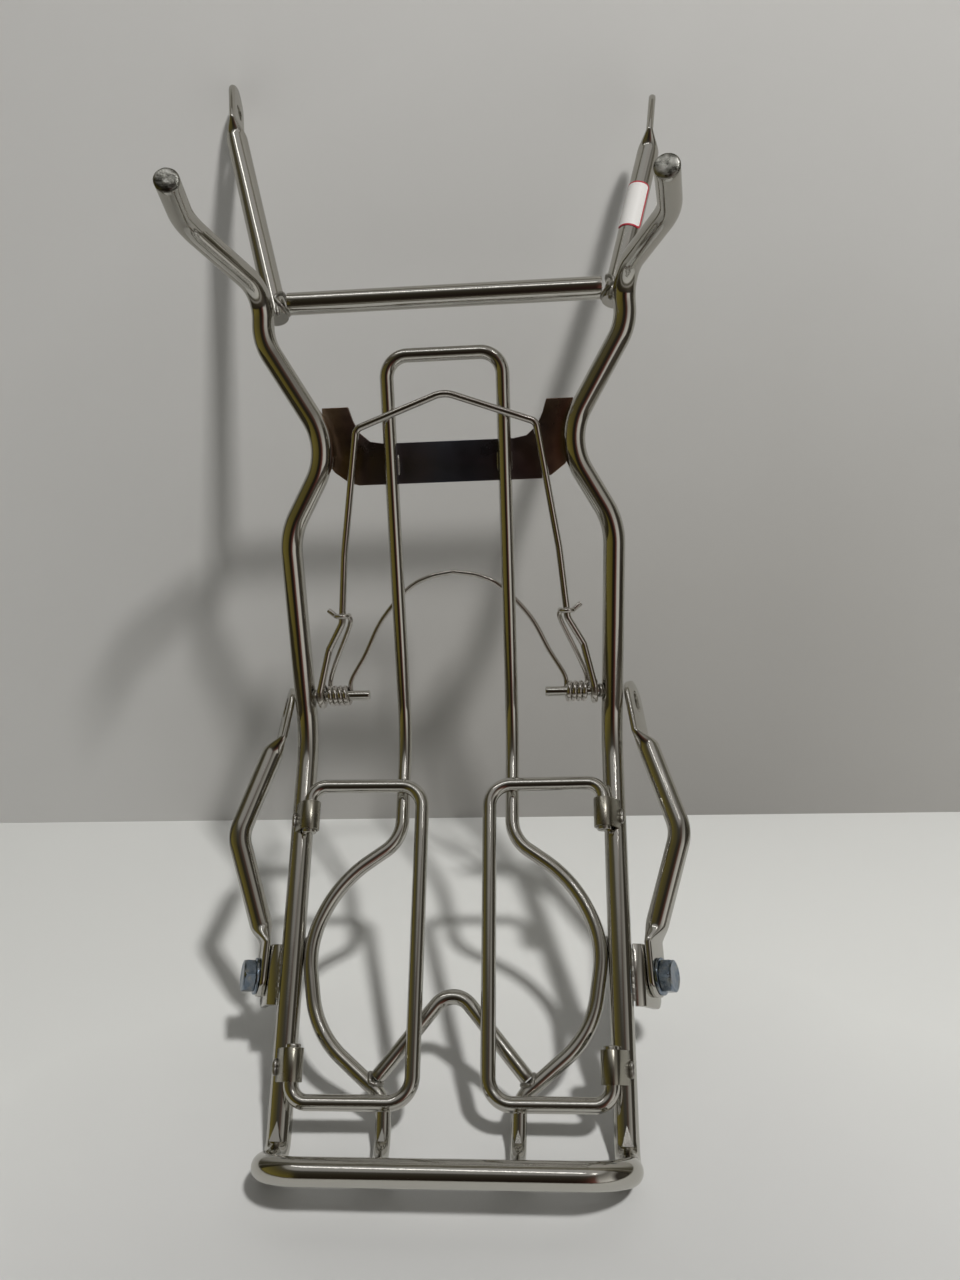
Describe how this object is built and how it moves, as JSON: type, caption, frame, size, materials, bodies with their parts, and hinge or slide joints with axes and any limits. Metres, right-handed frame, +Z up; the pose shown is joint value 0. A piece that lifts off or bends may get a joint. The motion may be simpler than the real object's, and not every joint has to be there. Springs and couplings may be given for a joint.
{
  "type": "folding motorcycle luggage rack",
  "caption": "Polished tube rack with a rod loop, a sprung wire bail, two fold-out wings and two pivoting stays; it clamps luggage and bolts to a motorcycle by flattened tube ends.",
  "frame": {"origin": "centre of the bounding box's underside, on the floor that the rack stands on", "axes": "+X across the rack to its right, +Y towards its back, +Z up; the rack leans back as it stands against a wall"},
  "size_m": [0.2682, 0.3679, 0.539],
  "materials": {
    "polished_steel": "polished stainless tube with fine lengthwise scratches",
    "spring_wire": "drawn stainless wire, polished",
    "heat_tinted_steel": "stainless sheet with brown and violet heat tint",
    "zinc_plate": "bluish zinc plating",
    "label": "plain white film"
  },
  "bodies": {
    "frame": {"frame_tube": "polished_steel", "crossbar": "polished_steel", "left_arm": "polished_steel", "right_arm": "polished_steel", "left_horn_cap": "polished_steel", "right_horn_cap": "polished_steel", "package_loop": "polished_steel", "brace_rod": "polished_steel", "saddle_plate": "heat_tinted_steel", "left_upper_clip": "polished_steel", "left_lower_clip": "polished_steel", "right_upper_clip": "polished_steel", "right_lower_clip": "polished_steel", "left_spring_pin": "polished_steel", "right_spring_pin": "polished_steel", "torsion_spring": "spring_wire", "left_stay_bracket": "polished_steel", "right_stay_bracket": "polished_steel", "left_stay_bolt": "zinc_plate", "left_stay_washer": "zinc_plate", "left_stay_nut": "zinc_plate", "right_stay_bolt": "zinc_plate", "right_stay_washer": "zinc_plate", "right_stay_nut": "zinc_plate", "arm_label": "label"},
    "left_wing": {"left_wing": "polished_steel"},
    "right_wing": {"right_wing": "polished_steel"},
    "bail": {"bail": "spring_wire"},
    "left_stay": {"left_stay": "polished_steel"},
    "right_stay": {"right_stay": "polished_steel"}
  },
  "joints": [
    {"name": "left_wing_hinge", "type": "hinge", "parent": "frame", "child": "left_wing", "pos_m": [-0.0822, -0.13179, 0.02778], "axis": [0.0149, -0.7229, -0.6908], "range_deg": [0, 165]},
    {"name": "right_wing_hinge", "type": "hinge", "parent": "frame", "child": "right_wing", "pos_m": [0.0822, -0.13179, 0.02778], "axis": [0.0149, 0.7229, 0.6908], "range_deg": [0, 165]},
    {"name": "bail_hinge", "type": "hinge", "parent": "frame", "child": "bail", "pos_m": [0, 0.02611, 0.18459], "axis": [1, 0, 0], "range_deg": [0, 100], "stiffness_Nm_per_rad": 0.6, "springref_deg": -28.65, "deforming": ["torsion_spring"]},
    {"name": "left_stay_hinge", "type": "hinge", "parent": "frame", "child": "left_stay", "pos_m": [-0.1065, -0.07054, 0.0556], "axis": [-0.9063, -0.292, 0.3055], "range_deg": [0, 140]},
    {"name": "right_stay_hinge", "type": "hinge", "parent": "frame", "child": "right_stay", "pos_m": [0.1065, -0.07054, 0.0556], "axis": [-0.9063, 0.292, -0.3055], "range_deg": [0, 140]}
  ]
}
